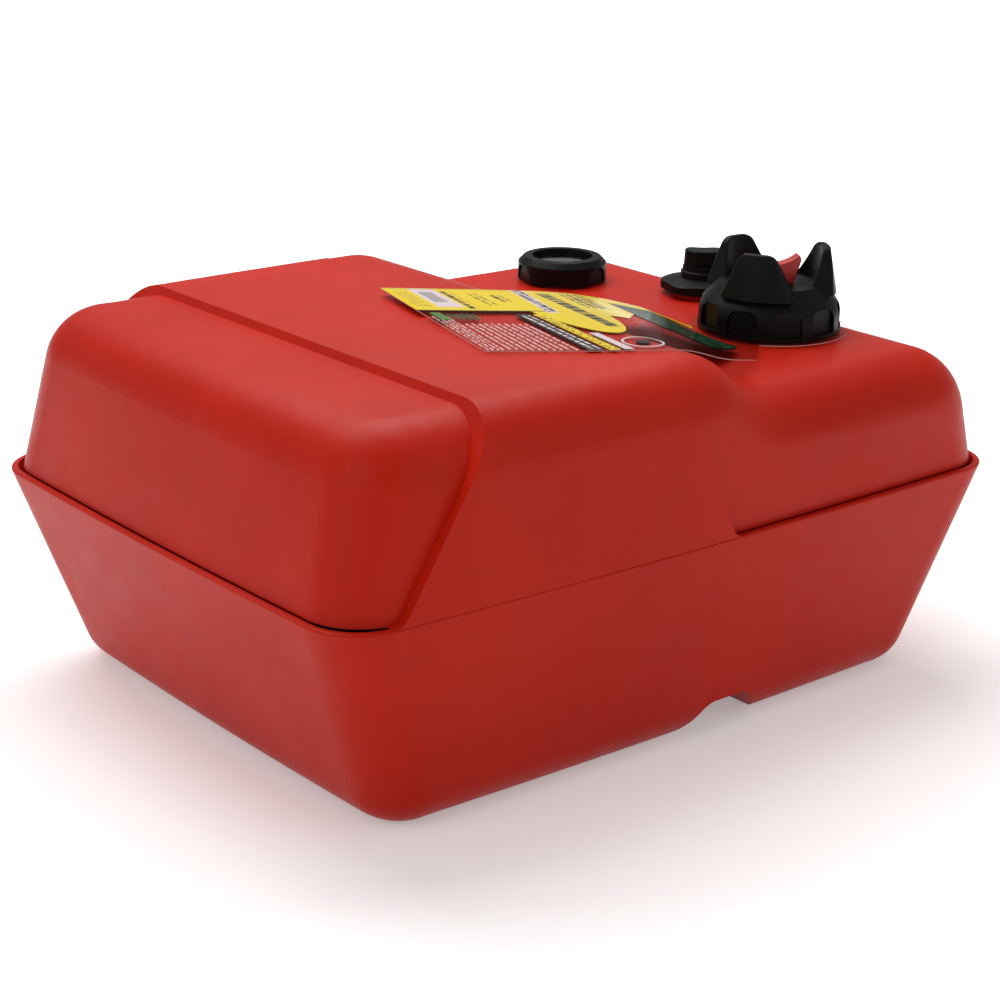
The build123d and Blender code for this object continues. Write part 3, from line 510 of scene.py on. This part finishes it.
# ------------------------------------------------------------------ filler neck's thread
def screw_thread(centre, radius, height_low, pitch, turns, depth, width):
    """A trapezoid ridge wound up a cylinder, tapering out over a sixth of a turn at both ends."""
    def build(work):
        steps = int(turns * 64)
        rings = []
        for index in range(steps + 1):
            share = index / steps
            fade = min(1.0, share * turns * 6, (1 - share) * turns * 6)
            angle = 2 * pi * turns * share
            level = height_low + pitch * turns * share
            ring = []
            for reach, rise in ((-0.2, -0.5), (fade, -0.22), (fade, 0.22), (-0.2, 0.5)):
                r = radius + depth * reach
                ring.append(work.verts.new((centre.x + r * cos(angle), centre.y + r * sin(angle),
                                            level + width * rise)))
            rings.append(ring)
        for lower, upper in zip(rings, rings[1:]):
            for side in range(4):
                following = (side + 1) % 4
                work.faces.new((lower[side], lower[following], upper[following], upper[side]))
        work.faces.new(rings[0])
        work.faces.new(rings[-1][::-1])
        bmesh.ops.recalc_face_normals(work, faces=work.faces)
    return build


neck_thread = screw_thread(FILLER, radius=0.0310, height_low=DECK + 0.0085, pitch=0.0050,
                           turns=2.0, depth=0.00065, width=0.0026)
mesh_object("filler_neck_thread", neck_thread, tank_red, "tank")

# ------------------------------------------------------------------ stage, light and camera
FLOOR_HALF_WIDTH = 6.0
# how brightly the floor glows for the camera, near the tank, where it keeps the shadow, and far off
NEAR_REACH, FAR_REACH = 0.30, 1.1
NEAR_GLOW, FAR_GLOW = 0.30, 1.1
AMBIENT = 0.34                          # the world's light on the object
BACKDROP = 1.0                          # the world as the camera sees it

floor_mesh = bpy.data.meshes.new("floor")
floor_work = bmesh.new()
bmesh.ops.create_grid(floor_work, x_segments=2, y_segments=2, size=FLOOR_HALF_WIDTH)
floor_work.to_mesh(floor_mesh)
floor_work.free()
floor = bpy.data.objects.new("floor", floor_mesh)
bpy.context.scene.collection.objects.link(floor)

floor_shader = Shader("floor_white")
floor_shader.set(Base_Color=rgba(250, 250, 250), Roughness=0.9, Specular_IOR_Level=0.0)
rays = floor_shader.tree.nodes.new("ShaderNodeLightPath")
seen = floor_shader.math("MAXIMUM", rays.outputs["Is Camera Ray"],
                         floor_shader.math("MAXIMUM", rays.outputs["Is Glossy Ray"],
                                           rays.outputs["Is Transmission Ray"]))
floor_x, floor_y, _ = floor_shader.axes()
reach = floor_shader.hypot(floor_x, floor_y)
glow = floor_shader.math("MULTIPLY", seen,
                         floor_shader.ramp(reach, NEAR_REACH, FAR_REACH, NEAR_GLOW, FAR_GLOW))
floor_shader.set(Emission_Color=(1, 1, 1, 1), Emission_Strength=glow)
floor_mesh.materials.append(floor_shader.material)

world = bpy.data.worlds.new("studio")
bpy.context.scene.world = world
world.use_nodes = True
world_tree = world.node_tree
background = world_tree.nodes["Background"]
background.inputs["Color"].default_value = (1, 1, 1, 1)
world_rays = world_tree.nodes.new("ShaderNodeLightPath")
strength = world_tree.nodes.new("ShaderNodeMapRange")
world_tree.links.new(world_rays.outputs["Is Camera Ray"], strength.inputs["Value"])
strength.inputs["To Min"].default_value = AMBIENT
strength.inputs["To Max"].default_value = BACKDROP
world_tree.links.new(strength.outputs[0], background.inputs["Strength"])


def softbox(name, place, target, size, power):
    """An area light that faces the target; size in metres, power in watts."""
    light = bpy.data.lights.new(name, "AREA")
    light.shape = "RECTANGLE"
    light.size, light.size_y = size
    light.energy = power
    obj = bpy.data.objects.new(name, light)
    bpy.context.scene.collection.objects.link(obj)
    obj.location = place
    direction = Vector(target) - Vector(place)
    obj.rotation_euler = direction.to_track_quat("-Z", "Y").to_euler()


softbox("softbox_top", (0.15, 0.55, 1.4), (0, 0, 0.15), (1.5, 1.1), 18.0)
softbox("softbox_front", (0.5, -1.6, 0.9), (0, 0, 0.12), (1.2, 0.9), 2.4)
softbox("softbox_left", (-1.6, -0.3, 0.9), (0, 0, 0.12), (1.0, 1.0), 3.8)

AZIMUTH, ELEVATION, ROLL = radians(-39.48), radians(18.86), radians(1.0)
SENSOR_WIDTH, PICTURE_PIXELS = 36.0, 1000
FOCAL_PIXELS, DISTANCE = 2211.3, 1.27713
TARGET = Vector((-0.00289, -0.00125, 0.09711))
back = Vector((sin(AZIMUTH) * cos(ELEVATION), -cos(AZIMUTH) * cos(ELEVATION), sin(ELEVATION)))
right = (-back).cross(Vector((0, 0, 1))).normalized()
up = right.cross(-back)
right, up = right * cos(ROLL) + up * sin(ROLL), up * cos(ROLL) - right * sin(ROLL)
camera_data = bpy.data.cameras.new("camera")
camera_data.sensor_width = SENSOR_WIDTH
camera_data.lens = FOCAL_PIXELS / PICTURE_PIXELS * SENSOR_WIDTH
camera_data.clip_end = 30.0
camera = bpy.data.objects.new("camera", camera_data)
bpy.context.scene.collection.objects.link(camera)
turn = Matrix((right, up, back)).transposed().to_4x4()
camera.matrix_world = Matrix.Translation(TARGET + back * DISTANCE) @ turn
bpy.context.scene.camera = camera
bpy.context.scene.view_settings.view_transform = "Standard"
